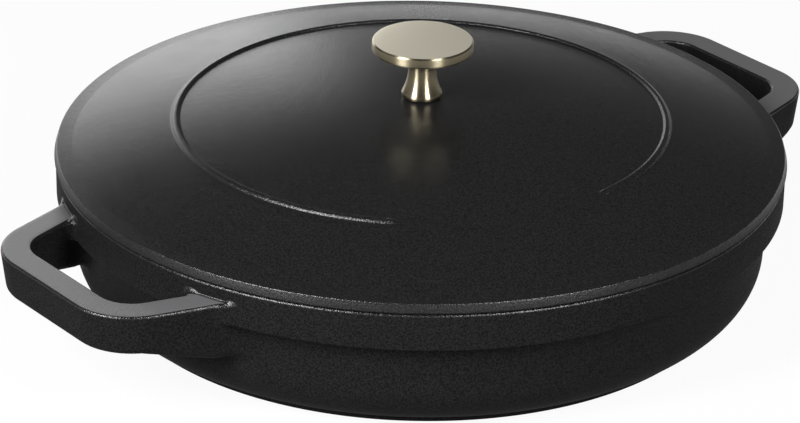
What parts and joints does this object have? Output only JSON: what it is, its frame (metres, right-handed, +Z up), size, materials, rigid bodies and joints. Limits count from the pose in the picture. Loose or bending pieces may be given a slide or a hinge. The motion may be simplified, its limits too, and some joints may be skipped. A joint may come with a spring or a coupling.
{
  "type": "lidded cast-iron cocotte",
  "caption": "Low, wide enamelled cast-iron cocotte with cast loop handles, a domed lift-off lid with a raised bead ring, and a screwed-on brass knob.",
  "frame": {"origin": "on the table, under the middle of the foot", "axes": "+Z is up, and X runs through both handles"},
  "size_m": [0.3606, 0.2914, 0.1028],
  "materials": {
    "enamel": "matt black enamel on cast iron, with a fine sandy grain",
    "knob_brass": "pale satin brass, turned",
    "fastener_steel": "plain stainless steel"
  },
  "bodies": {
    "pot": {"pot": "enamel"},
    "lid": {"lid": "enamel", "flat_washer": "fastener_steel", "lock_washer": "fastener_steel"},
    "knob": {"knob": "knob_brass"},
    "screw": {"knob_screw": "fastener_steel"}
  },
  "joints": [
    {"name": "lid_lift", "type": "slide", "parent": "pot", "child": "lid", "axis": [0, 0, 1], "range_m": [0, 0.12]},
    {"name": "knob_rise", "type": "slide", "parent": "lid", "child": "knob", "axis": [0, 0, 1], "range_m": [0, 0.0096]},
    {"name": "screw_turn", "type": "hinge", "parent": "lid", "child": "screw", "pos_m": [0, 0, 0.07], "axis": [0, 0, -1], "range_deg": [0, 4320]}
  ],
  "couplings": [
    {"joint": "screw_turn", "follows": "knob_rise", "rad_per_m": 7854}
  ]
}
